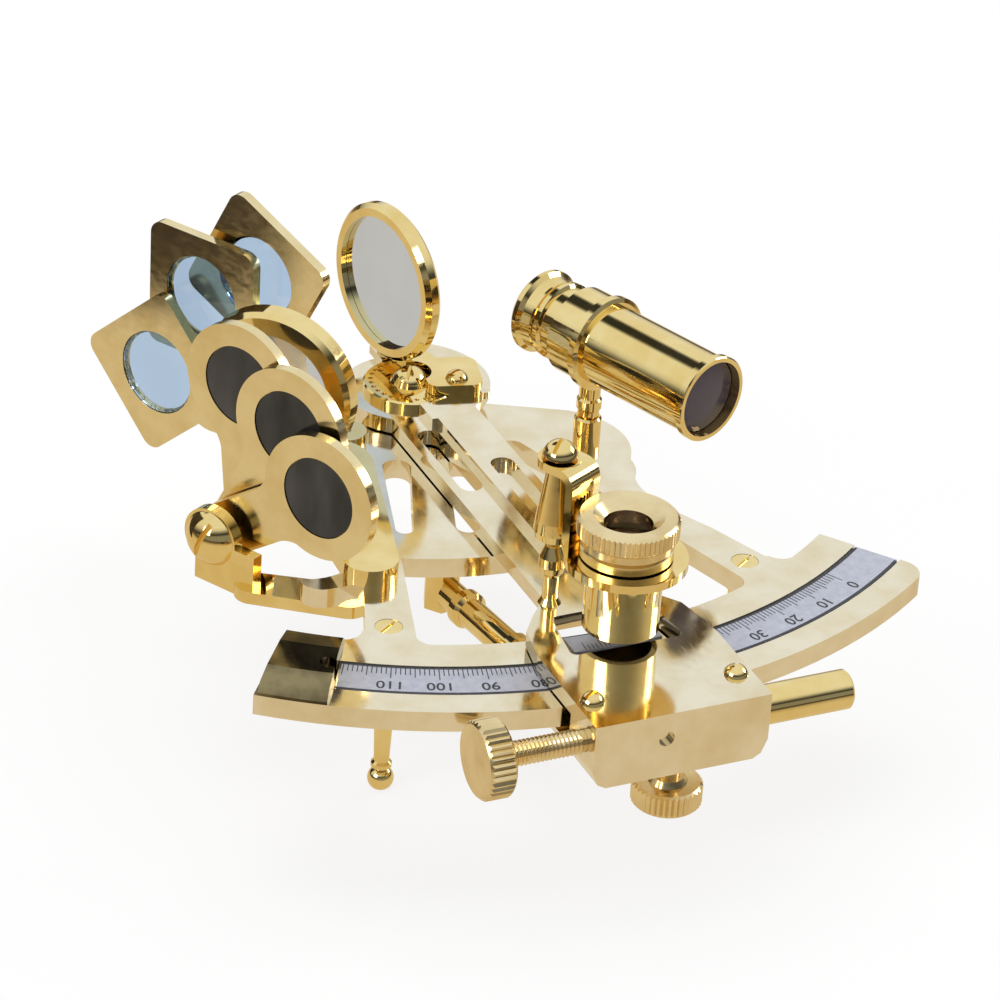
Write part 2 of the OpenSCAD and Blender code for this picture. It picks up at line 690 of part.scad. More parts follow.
spring_wire = 0.4;
spring_turns = 9;
spring_pitch = 1.7;
spring_steps = 8;
spring_sides = 6;
spring_r = spring_tube_r - 0.8 - plate_gap - spring_wire;
spring_points = [for (i = [0 : spring_turns * spring_steps], j = [0 : spring_sides - 1])
    let (a = i * 360 / spring_steps, b = j * 360 / spring_sides, r = spring_r + spring_wire * cos(b))
    [r * cos(a), r * sin(a), i * spring_pitch / spring_steps + spring_wire * sin(b)]];
spring_last = spring_turns * spring_steps * spring_sides;
spring_faces = [[for (j = [spring_sides - 1 : -1 : 0]) j],
    for (i = [0 : spring_turns * spring_steps - 1], j = [0 : spring_sides - 1])
        let (k = i * spring_sides, n = (j + 1) % spring_sides, up = k + spring_sides)
        each [[k + j, k + n, up + n], [k + j, up + n, up + j]],
    [for (j = [0 : spring_sides - 1]) spring_last + j]];
module tangent_spring() place() color(silver) along_tangent(spring_seat + 0.6)
    polyhedron(spring_points, [for (f = spring_faces) [for (k = [len(f) - 1 : -1 : 0]) f[k]]], convexity = 10);

module clamp_shoe() place() color(brass)
    at_z(deck_bottom - 1.4, 1.1) translate([clamp_axis[0] - 6, clamp_axis[1] - 3.3]) square([12, 9]);

shank_r = 1.8;
module clamp_screw() place() color(brass) translate([clamp_axis[0], clamp_axis[1], -22.5]) {
    knurled_disc(clamp_head_r, 4, knurls, 0.35);
    translate([0, 0, 4]) cylinder(r = shank_r, h = deck_bottom - 1.4 - 0.15 + 18.5);
    translate([0, 0, 4]) cylinder(r1 = 3.2, r2 = 2.6, h = 1);
}

tangent_head_x = -(block_half + 18);
tangent_head_thick = 4.4;
module tangent_screw() place() color(brass) along_tangent(tangent_head_x) {
    knurled_disc(tangent_head_r, tangent_head_thick, knurls, 0.35);
    cylinder(r = tangent_r, h = -3 - tangent_head_x);
    translate([0, 0, tangent_head_thick]) cylinder(r1 = 3, r2 = 2.4, h = 0.8);
}

post_z = arm_top;
cap_screw_z = 29.5;
neck_z = 24;
post_pin_r = 1.5;
module magnifier_post() place() color(brass) translate([magnifier_place[0], magnifier_place[1], 0])
    rotate_extrude() polygon([[0, arm_bottom], [0.8, arm_bottom], [0.8, post_z], [1.9, post_z],
        [1.3, post_z + 1], [1.3, 8], [1.9, 8.8], [2.2, 10], [2.1, 11.5], [1.3, 13.5], [2, 14.2],
        [3.1, 15.2], [3.4, 16.5], [3.2, 18.5], [2.4, neck_z], [1.9, 27.7 - plate_gap],
        [post_pin_r, 27.7 - plate_gap], [post_pin_r, cap_screw_z + plate_gap], [0, cap_screw_z + plate_gap]]);

module magnifier_cap_screw() place() color(brass)
    translate([magnifier_place[0], magnifier_place[1], cap_screw_z + plate_gap])
        dome_head(2.85, 2.5, 0.7, 40);

strap_half = 3.5;
ring_thick = 1.4;
bend_r = 1.4;
eye_z = 28;
strap_in = lens_reach - eyepiece_r - 1.85;
ring_bore_r = lens_tube_r + run_gap;
module at_magnifier() { translate(magnifier_place) rotate(magnifier_bearing) children(); }

// Side view of the cranked strap: flat eye, bend down, straight, bend out to the ring
module strap_profile() {
    t = ring_thick;
    bend_z = eye_z - bend_r;
    translate([0, eye_z]) square([strap_in - bend_r + seam, t]);
    translate([strap_in - bend_r, bend_z]) intersection() {
        difference() {
            circle(bend_r + t);
            circle(bend_r);
        }
        square(bend_r + t + 1);
    }
    translate([strap_in, lens_ring_z + t]) square([t, bend_z - lens_ring_z - t + seam]);
    translate([strap_in + t, lens_ring_z + t]) intersection() {
        circle(t);
        translate([-t, -t]) square([t + seam, t + seam]);
    }
    translate([strap_in + t, lens_ring_z]) square([3, t]);
}

module magnifier_arm() place() color(brass) at_magnifier() difference() {
    union() {
        translate([0, 0, eye_z]) cylinder(r = strap_half, h = ring_thick);
        rotate([90, 0, 0]) translate([0, 0, -strap_half]) linear_extrude(strap_half * 2) strap_profile();
        translate([lens_reach, 0, lens_ring_z]) cylinder(r = lens_ring_r, h = ring_thick);
    }
    translate([0, 0, eye_z - 1]) cylinder(r = post_pin_r + run_gap, h = 4);
    translate([lens_reach, 0, lens_ring_z - 1]) cylinder(r = ring_bore_r, h = 20);
}

lens_tube_bottom = 4.9;
lens_tube_top = 21;
module at_lens() { at_magnifier() translate([lens_reach, 0, 0]) children(); }
module magnifier_tube() place() color(brass) at_lens() difference() {
    rotate_extrude() polygon([[5.2, lens_tube_bottom], [lens_tube_r, lens_tube_bottom],
        [lens_tube_r, lens_tube_top], [5.2, lens_tube_top]]);
}

eyepiece_z = lens_ring_z + ring_thick + plate_gap;
module magnifier_eyepiece() place() color(brass) at_lens() {
    neck_r = eyepiece_r - 0.7;
    difference() {
        union() {
            rotate_extrude() polygon([[0, eyepiece_z], [neck_r, eyepiece_z], [neck_r, eyepiece_z + 1.4],
                [neck_r - 0.5, eyepiece_z + 1.7], [neck_r, eyepiece_z + 2], [neck_r, 21.2], [0, 21.2]]);
            translate([0, 0, 21.2]) knurled_disc(eyepiece_r, 3.4, 60, 0.2);
        }
        translate([0, 0, 10]) cylinder(r = lens_tube_r + run_gap, h = lens_tube_top - 10 + 0.05);
        translate([0, 0, 20]) cylinder(r = 3.9, h = 10);
        translate([0, 0, 23.2]) cylinder(r1 = 3.9, r2 = 5.6, h = 1.41);
    }
}

module magnifier_lens() place() color(smoke) at_lens() translate([0, 0, 18.6])
    lens_body(5.2 - glass_gap, 2.4);

// Puts z along the telescope's axis, forwards from its post
module at_scope() {
    translate([scope_post[0], scope_post[1], scope_z]) rotate(scope_turn - 90) rotate([0, 90, 0]) children();
}
collar_half = 3.6;
scope_bore_r = draw_r + run_gap;
module telescope_collar() place() color(brass) {
    difference() {
        union() {
            at_scope() rotate_extrude() polygon([[scope_r, -collar_half], [scope_r + 0.6, -collar_half],
                [scope_r + 0.6, 1.6], [scope_r + 1.3, 1.9], [scope_r + 1.3, 3.1], [scope_r + 0.6, 3.4],
                [scope_r, 3.4]]);
            translate([scope_post[0], scope_post[1], 0]) rotate_extrude() polygon([[0, post_top + plate_gap],
                [post_r - 0.5, post_top + plate_gap], [post_r - 0.5, 10.6], [post_r - 0.2, 11],
                [post_r - 0.2, 12.6], [post_r - 0.5, 13], [post_r - 0.5, scope_z - scope_r + 1],
                [0, scope_z - scope_r + 1]]);
        }
        at_scope() cylinder(r = scope_r, h = 60, center = true);
    }
    translate([scope_post[0], scope_post[1], 2.7]) cylinder(r = spigot_r, h = 8);
}

rim_s = scope_front;
module telescope_tube() place() color(brass) at_scope() rotate_extrude() polygon([
    [scope_bore_r, -3.4], [scope_r - e, -3.4], [scope_r - e, rim_s - 1.6], [scope_r + 0.5, rim_s - 1.3],
    [scope_r + 0.5, rim_s - 0.2], [scope_r + 0.3, rim_s], [scope_r - 0.4, rim_s], [scope_r - 0.5, rim_s - 1.4],
    [scope_r - 0.5, rim_s - 3.6], [scope_bore_r, rim_s - 3.6]]);

module objective_lens() place() color(smoke) at_scope() translate([0, 0, rim_s - 2.3])
    lens_body(scope_r - 0.5 - glass_gap, 2.2);

draw_in = 14;
draw_back = -8.6;
module draw_tube() place() color(brass) at_scope() rotate_extrude() polygon([
    [draw_r - 0.8, draw_back], [draw_r, draw_back], [draw_r + 0.6, draw_back + 0.8],
    [draw_r + 0.6, draw_back + 1.6], [draw_r, draw_back + 2], [draw_r, draw_in], [draw_r - 0.8, draw_in]]);

cup_r = 7.2;
cup_back = draw_back - 4.4;
module telescope_eyepiece() place() color(brass) at_scope() rotate_extrude() polygon([
    [3.2, cup_back], [cup_r - 0.8, cup_back], [cup_r, cup_back + 0.8], [cup_r, cup_back + 1.6],
    [cup_r - 0.7, cup_back + 2.2], [cup_r - 0.9, draw_back - 0.4], [cup_r - 0.9, draw_back],
    [draw_r - 0.9, draw_back], [draw_r - 0.9, cup_back + 1.8], [3.2, cup_back + 1.1]]);

module eye_lens() place() color(smoke) at_scope() translate([0, 0, draw_back - 1.4])
    lens_body(draw_r - 0.9 - glass_gap, 2);

front_angles = [96.4, 64.2, 35.4];
rear_angles = [177.3, 135.6, 108.9];
eye_r = 4.6;

module round_shade(i) at_front_axle() translate([0, shade_pitch * (2 - i), 0])
    rotate([0, -front_angles[i], 0]) difference() {
        across(0, shade_thick) difference() {
            union() {
                tapered_bar([0, 0], eye_r, [round_reach, 0], eye_r);
                translate([round_reach, 0]) circle(round_r);
                for (s = [-1, 1]) corner_web([4, s * eye_r], [round_reach - sqrt(pow(round_r, 2)
                    - pow(eye_r, 2)), s * eye_r], [round_reach - 7, s * (round_r - 2.4)], 6);
            }
            circle(axle_r + run_gap);
        }
        translate([round_reach, -1, 0]) rotate([-90, 0, 0]) {
            cylinder(r = round_glass_r, h = 8);
            cylinder(r = round_glass_r + 0.5, h = 1 + shade_thick - 0.4);
        }
    }

module round_glass(i) at_front_axle() translate([0, shade_pitch * (2 - i), 0])
    rotate([0, -front_angles[i], 0]) translate([round_reach, 0.2, 0]) rotate([-90, 0, 0])
        cylinder(r = round_glass_r + 0.5 - glass_gap, h = shade_thick - 0.6);

module square_shade(i) at_rear_axle() translate([0, shade_pitch * i, 0])
    rotate([0, -rear_angles[i], 0]) difference() {
        across(0, shade_thick) difference() {
            union() {
                tapered_bar([0, 0], eye_r, [square_reach / 2, 0], eye_r + 1.6);
                translate([square_reach, 0]) rotate(45) rounded_square(square_side, square_side, 2.5);
            }
            circle(axle_r + run_gap);
        }
        translate([square_reach, -1, 0]) rotate([-90, 0, 0]) {
            cylinder(r = square_glass_r, h = 8);
            cylinder(r = square_glass_r + 0.5, h = 1 + shade_thick - 0.4);
        }
    }

module square_glass(i) at_rear_axle() translate([0, shade_pitch * i, 0])
    rotate([0, -rear_angles[i], 0]) translate([square_reach, 0.2, 0]) rotate([-90, 0, 0])
        cylinder(r = square_glass_r + 0.5 - glass_gap, h = shade_thick - 0.6);

module front_shade_1() place() color(brass) round_shade(0);
module front_shade_2() place() color(brass) round_shade(1);
module front_shade_3() place() color(brass) round_shade(2);
module front_glass_1() place() color(smoke) round_glass(0);
module front_glass_2() place() color(smoke) round_glass(1);
module front_glass_3() place() color(smoke) round_glass(2);
module rear_shade_1() place() color(brass) square_shade(0);
module rear_shade_2() place() color(brass) square_shade(1);
module rear_shade_3() place() color(brass) square_shade(2);
module rear_glass_1() place() color(sky) square_glass(0);
module rear_glass_2() place() color(sky) square_glass(1);
module rear_glass_3() place() color(sky) square_glass(2);

frame();
scale_strip();
limb_end_cap();
front_feet();
rear_foot();
foot_screws();
handle_grip();
handle_bracket();
handle_pillar();
horizon_base();
horizon_cell();
horizon_glass();
front_shade_bracket();
front_shade_axle();
rear_shade_bracket();
rear_shade_axle();
shade_nuts();
telescope_post();
index_arm();
arm_rail();
pivot_shaft();
pivot_nut();
pivot_cap();
vernier_scale();
index_mirror_cell();
index_mirror_glass();
index_mirror_bracket();
mirror_bracket_screw();
clamp_block();
block_screws();
spring_tube();
tangent_spring();
clamp_shoe();
magnifier_post();
magnifier_cap_screw();
tangent_screw();
clamp_screw();
magnifier_arm();
magnifier_tube();
magnifier_eyepiece();
magnifier_lens();
telescope_collar();
telescope_tube();
objective_lens();
draw_tube();
telescope_eyepiece();
eye_lens();
front_shade_1();
front_shade_2();
front_shade_3();
front_glass_1();
front_glass_2();
front_glass_3();
rear_shade_1();
rear_shade_2();
rear_shade_3();
rear_glass_1();
rear_glass_2();
rear_glass_3();
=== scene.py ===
import math

import bmesh
import bpy
from mathutils import Matrix, Vector


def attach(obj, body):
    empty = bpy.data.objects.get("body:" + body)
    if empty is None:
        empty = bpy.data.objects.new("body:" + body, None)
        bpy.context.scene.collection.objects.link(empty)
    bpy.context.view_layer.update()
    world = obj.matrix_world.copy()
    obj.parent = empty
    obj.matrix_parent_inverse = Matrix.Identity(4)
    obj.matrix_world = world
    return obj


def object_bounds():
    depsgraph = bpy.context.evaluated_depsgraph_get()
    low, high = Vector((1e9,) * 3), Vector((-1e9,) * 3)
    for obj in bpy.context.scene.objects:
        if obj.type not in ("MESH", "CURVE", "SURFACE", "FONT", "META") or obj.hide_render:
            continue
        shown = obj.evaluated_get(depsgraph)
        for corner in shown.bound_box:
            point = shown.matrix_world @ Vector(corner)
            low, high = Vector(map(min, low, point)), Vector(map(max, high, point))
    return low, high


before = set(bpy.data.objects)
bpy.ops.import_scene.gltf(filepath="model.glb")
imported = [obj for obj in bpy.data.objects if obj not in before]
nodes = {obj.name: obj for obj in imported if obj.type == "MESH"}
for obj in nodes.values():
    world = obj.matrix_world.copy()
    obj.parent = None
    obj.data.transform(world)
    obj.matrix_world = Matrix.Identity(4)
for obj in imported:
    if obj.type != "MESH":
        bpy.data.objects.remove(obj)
cad_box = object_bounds()
MM = 0.001

# The pivot's axis on the deck's top face: the drawing's own origin, in metres
DECK = Vector((0.0, -11.0, 30.0)) * MM


def at(x, y, z):
    """A place given in millimetres from the pivot's axis on the deck's top face."""
    return DECK + Vector((x, y, z)) * MM


# Materials

def new_material(name):
    m = bpy.data.materials.new(name)
    m.use_nodes = True
    return m, m.node_tree, m.node_tree.nodes["Principled BSDF"]


def node(tree, kind, **values):
    n = tree.nodes.new(kind)
    for key, value in values.items():
        if hasattr(n, key):
            setattr(n, key, value)
        else:
            n.inputs[key.replace("_", " ")].default_value = value
    return n


def noise(tree, scale, detail=4.0, rough=0.5, stretch=None):
    """Noise on object coordinates; the scale counts features per metre."""
    source = node(tree, "ShaderNodeTexCoord").outputs["Object"]
    if stretch:
        mapping = node(tree, "ShaderNodeMapping")
        mapping.inputs["Scale"].default_value = stretch
        tree.links.new(source, mapping.inputs["Vector"])
        source = mapping.outputs["Vector"]
    n = node(tree, "ShaderNodeTexNoise")
    n.inputs["Scale"].default_value = scale
    n.inputs["Detail"].default_value = detail
    n.inputs["Roughness"].default_value = rough
    tree.links.new(source, n.inputs["Vector"])
    return n.outputs["Fac"]


def ramp(tree, source, stops):
    """Colours at places from 0 to 1, as pairs of a place and a colour of three parts."""
    r = node(tree, "ShaderNodeValToRGB")
    first, last = r.color_ramp.elements
    first.position, first.color = stops[0][0], stops[0][1] + (1,)
    last.position, last.color = stops[-1][0], stops[-1][1] + (1,)
    for place, colour in stops[1:-1]:
        r.color_ramp.elements.new(place).color = colour + (1,)
    tree.links.new(source, r.inputs["Fac"])
    return r.outputs["Color"]


def scaled(colour, factor):
    return tuple(c * factor for c in colour)


def spread(tree, source, low, high):
    """The middle of a noise, 0.3 to 0.7, mapped to a range of values."""
    m = node(tree, "ShaderNodeMapRange")
    m.inputs["From Min"].default_value = 0.3
    m.inputs["From Max"].default_value = 0.7
    m.inputs["To Min"].default_value = low
    m.inputs["To Max"].default_value = high
    tree.links.new(source, m.inputs["Value"])
    return m.outputs["Result"]


def bump(tree, source, distance, strength):
    b = node(tree, "ShaderNodeBump")
    b.inputs["Strength"].default_value = strength
    b.inputs["Distance"].default_value = distance
    tree.links.new(source, b.inputs["Height"])
    return b.outputs["Normal"]


def brass(name, light, dark, smooth, worn):
    """Polished metal: clouded colour, streaks from smooth to worn roughness, and a slight wave."""
    m, tree, shader = new_material(name)
    shader.inputs["Metallic"].default_value = 1.0
    cloud = noise(tree, 130.0, 5.0, 0.55)
    tree.links.new(ramp(tree, cloud, [(0.3, dark), (0.62, light)]), shader.inputs["Base Color"])
    streaks = noise(tree, 900.0, 6.0, 0.65, (1.0, 0.25, 1.0))
    tree.links.new(spread(tree, streaks, smooth, worn), shader.inputs["Roughness"])
    hand_polish = noise(tree, 160.0, 2.0, 0.4)
    tree.links.new(bump(tree, hand_polish, 0.02 * MM, 0.5), shader.inputs["Normal"])
    return m


def silvered():
    m, tree, shader = new_material("silvered_scale")
    shader.inputs["Metallic"].default_value = 0.55
    cloud = noise(tree, 700.0, 5.0, 0.6)
    tree.links.new(ramp(tree, cloud, [(0.3, (0.42, 0.43, 0.5)), (0.7, (0.55, 0.56, 0.63))]),
                   shader.inputs["Base Color"])
    tree.links.new(spread(tree, cloud, 0.32, 0.5), shader.inputs["Roughness"])
    return m


def glass(name, colour, roughness, transmission):
    m, tree, shader = new_material(name)
    cloud = noise(tree, 60.0, 2.0, 0.4)
    tree.links.new(ramp(tree, cloud, [(0.35, scaled(colour, 0.93)), (0.65, colour)]),
                   shader.inputs["Base Color"])
    shader.inputs["Roughness"].default_value = roughness
    shader.inputs["IOR"].default_value = 1.5
    shader.inputs["Transmission Weight"].default_value = transmission
    shader.inputs["Specular IOR Level"].default_value = 0.5 if transmission > 0.5 else 0.3
    return m


def smoked(name, colour, painted_sheen):
    """Glass too dark to see through; lighter uneven patches in its colour are a painted sheen in place
    of faint reflections on its polish.
    """
    m, tree, shader = new_material(name)
    cloud = noise(tree, 85.0, 3.0, 0.55, (1.0, 1.0, 0.4))
    tree.links.new(ramp(tree, cloud, [(0.36, colour), (0.66, painted_sheen)]), shader.inputs["Base Color"])
    tree.links.new(spread(tree, cloud, 0.02, 0.12), shader.inputs["Roughness"])
    shader.inputs["Specular IOR Level"].default_value = 0.4
    return m


def mirror(name, colour):
    m, tree, shader = new_material(name)
    shader.inputs["Metallic"].default_value = 1.0
    cloud = noise(tree, 90.0, 3.0, 0.5)
    tree.links.new(ramp(tree, cloud, [(0.3, scaled(colour, 0.94)), (0.7, colour)]),
                   shader.inputs["Base Color"])
    tree.links.new(spread(tree, cloud, 0.01, 0.04), shader.inputs["Roughness"])
    return m


def paint(name, colour):
    m, tree, shader = new_material(name)
    cloud = noise(tree, 1500.0, 3.0, 0.5)
    worn = tuple(c + 0.03 for c in colour)
    tree.links.new(ramp(tree, cloud, [(0.35, colour), (0.75, worn)]), shader.inputs["Base Color"])
    shader.inputs["Roughness"].default_value = 0.55
    return m


POLISHED = brass("polished_brass", (0.88, 0.70, 0.32), (0.80, 0.58, 0.21), 0.04, 0.1)
PLATE = brass("plate_brass", (0.87, 0.78, 0.59), (0.78, 0.66, 0.43), 0.06, 0.14)
SHADE_BRASS = brass("shade_brass", (0.86, 0.72, 0.42), (0.76, 0.60, 0.30), 0.1, 0.2)
KNURLED = brass("knurled_brass", (0.84, 0.68, 0.38), (0.70, 0.52, 0.25), 0.14, 0.26)
DARK_BRASS = brass("dark_brass", (0.30, 0.24, 0.12), (0.07, 0.055, 0.03), 0.06, 0.16)
SILVERED = silvered()
MIRROR = mirror("silvered_mirror", (0.68, 0.78, 0.99))
HORIZON = glass("horizon_glass", (0.85, 0.87, 0.9), 0.02, 0.7)
# Smoke glass: near black, with its second colour a painted sheen.
SMOKE = smoked("smoke_glass", (0.004, 0.004, 0.005), (0.05, 0.045, 0.042))
BLUE = glass("blue_glass", (0.45, 0.60, 0.80), 0.015, 1.0)
LENS = glass("dark_lens", (0.09, 0.07, 0.09), 0.04, 0.15)
# Dark fill of the engravings; the same material is also the painted shade in the grooves beside the
# scale strip.
INK_AND_PAINTED_SHADE = paint("engraving_fill_and_painted_shade", (0.02, 0.02, 0.025))
STEEL = brass("spring_steel", (0.55, 0.55, 0.57), (0.4, 0.4, 0.42), 0.2, 0.35)

FINISH = {
    "frame": PLATE, "index_arm": PLATE, "arm_rail": PLATE, "clamp_block": PLATE,
    "scale_strip": SILVERED, "vernier_scale": SILVERED, "limb_end_cap": DARK_BRASS,
    "index_mirror_glass": MIRROR, "horizon_glass": HORIZON, "tangent_spring": STEEL,
    "objective_lens": LENS, "magnifier_lens": LENS, "eye_lens": LENS,
    "tangent_screw": KNURLED, "clamp_screw": KNURLED, "magnifier_eyepiece": KNURLED,
}
for i in "123":
    FINISH["front_glass_" + i] = SMOKE
    FINISH["rear_glass_" + i] = BLUE
    FINISH["front_shade_" + i] = SHADE_BRASS
    FINISH["rear_shade_" + i] = SHADE_BRASS

BROAD_EDGES = {"frame", "index_arm", "clamp_block", "arm_rail", "horizon_base", "limb_end_cap"}
BROAD_BEVEL = 0.35 * MM
FINE_BEVEL = 0.18 * MM


def dress(name):
    """A finish for one CAD node, and softened edges unless it is glass."""
    obj = nodes[name]
    obj.data.materials.clear()
    obj.data.materials.append(FINISH.get(name, POLISHED))
    if "glass" in name or "lens" in name:
        return
    bevel = obj.modifiers.new("edge", "BEVEL")
    bevel.width = BROAD_BEVEL if name in BROAD_EDGES else FINE_BEVEL
    bevel.segments = 2
    bevel.limit_method = "ANGLE"
    bevel.angle_limit = math.radians(50)
    bevel.use_clamp_overlap = True


for name in nodes:
    dress(name)


# Scale and vernier markings

def ride_on(obj, body, material):
    """Puts a piece in the scene, with a finish and a material slot, moving with a body."""
    bpy.context.scene.collection.objects.link(obj)
    obj.data.materials.append(material)
    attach(obj, body)
    return obj


def add_bar(bm, middle, along, length, width, height):
    """A flat bar: its middle, its direction in plan, and its three sizes in millimetres."""
    side = Vector((-along.y, along.x, 0))
    corners = []
    for z in (0, height):
        for s, t in ((-1, -1), (1, -1), (1, 1), (-1, 1)):
            p = middle + along * (s * length / 2 * MM) + side * (t * width / 2 * MM)
            corners.append(bm.verts.new(p + Vector((0, 0, z * MM))))
    for face in ((3, 2, 1, 0), (4, 5, 6, 7), (0, 1, 5, 4), (1, 2, 6, 5), (2, 3, 7, 6), (3, 0, 4, 7)):
        bm.faces.new([corners[i] for i in face])


def polar(radius, angle, z):
    """A place on the limb: the angle in degrees from the middle line towards the right."""
    a = math.radians(angle)
    return at(radius * math.sin(a), -radius * math.cos(a), z)


def outward(angle):
    """The direction away from the pivot at an angle of the limb."""
    a = math.radians(angle)
    return Vector((math.sin(a), -math.cos(a), 0))


def mesh_object(name, bm):
    mesh = bpy.data.meshes.new(name)
    bm.to_mesh(mesh)
    bm.free()
    return bpy.data.objects.new(name, mesh)


# Millimetres from the pivot (radii) and from the deck's top face (heights), as in part.scad
SCALE_TOP = -0.05
SCALE_INNER, SCALE_OUTER = 84.2, 91.7
# The grooves beside the strip, and the heights inside them of the dark bands of painted shade.
INNER_GROOVE, OUTER_GROOVE = (83.88, 84.17), (91.73, 92.02)
GROOVE_LEVELS = (-0.79, -0.3)
GROOVE_START, GROOVE_SPAN = -30.4, 67.4
UNITS = 120
INNER_LINE, OUTER_LINE = 0.45, 0.4
MARK_HEIGHT = 0.02
TICK_AT_TEN, TICK_AT_FIVE, TICK_AT_ONE = 3.0, 2.5, 1.8
TICK_WIDTH = 0.16
NUMBER_SIZE, NUMBER_OUT = 3.0, 5.3
VERNIER_RADIUS, VERNIER_TOP = 83.7, 1.2
VERNIER_STEP = 0.475
VERNIER_LONG, VERNIER_SHORT = 2.2, 1.4
VERNIER_WIDTH = 0.14


def unit_angle(value):
    """Two units of the scale to one degree, 60 on the middle line."""
    return (60 - value) / 2


def scale_ticks():
    """The scale's marks: short, longer at each fifth, longest at each tenth."""
    bm = bmesh.new()
    for unit in range(0, UNITS + 1):
        length = TICK_AT_TEN if unit % 10 == 0 else TICK_AT_FIVE if unit % 5 == 0 else TICK_AT_ONE
        angle = unit_angle(unit)
        middle = polar(SCALE_INNER + INNER_LINE + length / 2, angle, SCALE_TOP)
        add_bar(bm, middle, outward(angle), length, TICK_WIDTH, MARK_HEIGHT)
    return ride_on(mesh_object("scale_ticks", bm), "frame", INK_AND_PAINTED_SHADE)


def scale_number(value):
    """One number of the scale, read from the pivot's side."""
    curve = bpy.data.curves.new("number_%d" % value, "FONT")
    curve.body = str(value)
    curve.size = NUMBER_SIZE * MM
    curve.extrude = 0.01 * MM
    curve.offset = 0.03 * MM
    curve.resolution_u = 3
    curve.align_x = "CENTER"
    curve.align_y = "CENTER"
    obj = bpy.data.objects.new("scale_number_%d" % value, curve)
    angle = unit_angle(value)
    obj.location = polar(SCALE_INNER + NUMBER_OUT, angle, SCALE_TOP + 0.012)
    obj.rotation_euler = (0, 0, math.radians(angle) + math.pi)
    return ride_on(obj, "frame", INK_AND_PAINTED_SHADE)


def vernier_ticks():
    """The vernier's marks, a little closer together than the scale's."""
    bm = bmesh.new()
    for i in range(-8, 9):
        length = VERNIER_LONG if i % 4 == 0 else VERNIER_SHORT
        angle = i * VERNIER_STEP
        middle = polar(VERNIER_RADIUS - length / 2, angle, VERNIER_TOP)
        add_bar(bm, middle, outward(angle), length, VERNIER_WIDTH, MARK_HEIGHT)
    return ride_on(mesh_object("vernier_ticks", bm), "index_arm", INK_AND_PAINTED_SHADE)


def arc_band(bm, radii, levels):
    """A closed band along the scale, between two radii and two heights."""
    steps = 90
    rows = []
    for k in range(steps + 1):
        angle = GROOVE_START + GROOVE_SPAN * k / steps
        rows.append([bm.verts.new(polar(r, angle, z)) for z in levels for r in radii])
    for p, q in zip(rows, rows[1:]):
        for i, j in ((0, 1), (1, 3), (3, 2), (2, 0)):
            bm.faces.new((p[i], p[j], q[j], q[i]))
    bm.faces.new([rows[0][i] for i in (0, 2, 3, 1)])
    bm.faces.new([rows[-1][i] for i in (0, 1, 3, 2)])


def groove_lines():
    """Painted shade in the grooves on both sides of the scale strip, as a dark band sunk in each, and
    the filled line along each of the strip's edges.
    """
    bm = bmesh.new()
    line_levels = (SCALE_TOP, SCALE_TOP + MARK_HEIGHT)
    # Painted shade: the first and last bands lie low in the two grooves, dark where only shade falls.
    arc_band(bm, INNER_GROOVE, GROOVE_LEVELS)
    arc_band(bm, (SCALE_INNER, SCALE_INNER + INNER_LINE), line_levels)
    arc_band(bm, (SCALE_OUTER - OUTER_LINE, SCALE_OUTER), line_levels)
    arc_band(bm, OUTER_GROOVE, GROOVE_LEVELS)
    bmesh.ops.recalc_face_normals(bm, faces=bm.faces)
    return ride_on(mesh_object("groove_lines", bm), "frame", INK_AND_PAINTED_SHADE)


# The index mirror: its centre in millimetres, and its turn in degrees about the vertical
INDEX_MIRROR = (-1.7, 7.5, 20)
INDEX_MIRROR_TURN = 12.6


def mirror_backing():
    """The painted back of the index mirror."""
    radius, thick, behind = 11.9 * MM, 0.08 * MM, 1.41 * MM
    bm = bmesh.new()
    bmesh.ops.create_cone(bm, cap_ends=True, segments=96, radius1=radius, radius2=radius, depth=thick)
    upright = Matrix.Rotation(math.radians(90), 4, "Y")
    turn = Matrix.Rotation(math.radians(INDEX_MIRROR_TURN), 4, "Z") @ upright
    place = Matrix.Translation(at(*INDEX_MIRROR)) @ turn @ Matrix.Translation((0, 0, behind))
    bmesh.ops.transform(bm, matrix=place, verts=bm.verts)
    return ride_on(mesh_object("mirror_backing", bm), "index_arm", SHADE_BRASS)


# Corners of the fill in plan, on the right side
LEG_CORNER = ((35.15, -65.1), (36.3, -68.3), (36.45, -68.45), (37.0, -68.2), (35.79, -65.15))


def leg_corner_fill(name, side):
    """Brass in the narrow slit that the solids leave between a leg and its corner web."""
    bm = bmesh.new()
    top, bottom = [[bm.verts.new(at(side * x, y, z)) for x, y in LEG_CORNER] for z in (-0.01, -3.49)]
    bm.faces.new(top)
    bm.faces.new(list(reversed(bottom)))
    for k in range(len(top)):
        after = (k + 1) % len(top)
        bm.faces.new((top[k], bottom[k], bottom[after], top[after]))
    bmesh.ops.recalc_face_normals(bm, faces=bm.faces)
    return ride_on(mesh_object(name, bm), "frame", PLATE)


leg_corner_fill("leg_corner_fill_left", -1)
leg_corner_fill("leg_corner_fill_right", 1)
scale_ticks()
groove_lines()
mirror_backing()
for value in range(0, UNITS, 10):
    scale_number(value)
vernier_ticks()


# Thread on the tangent screw

THREAD_START, THREAD_END, THREAD_PITCH = -27.6, -15.6, 0.7
THREAD_ROOT, THREAD_CREST = 1.78, 2.02
TANGENT_AXIS = (-103.0, -1.6)


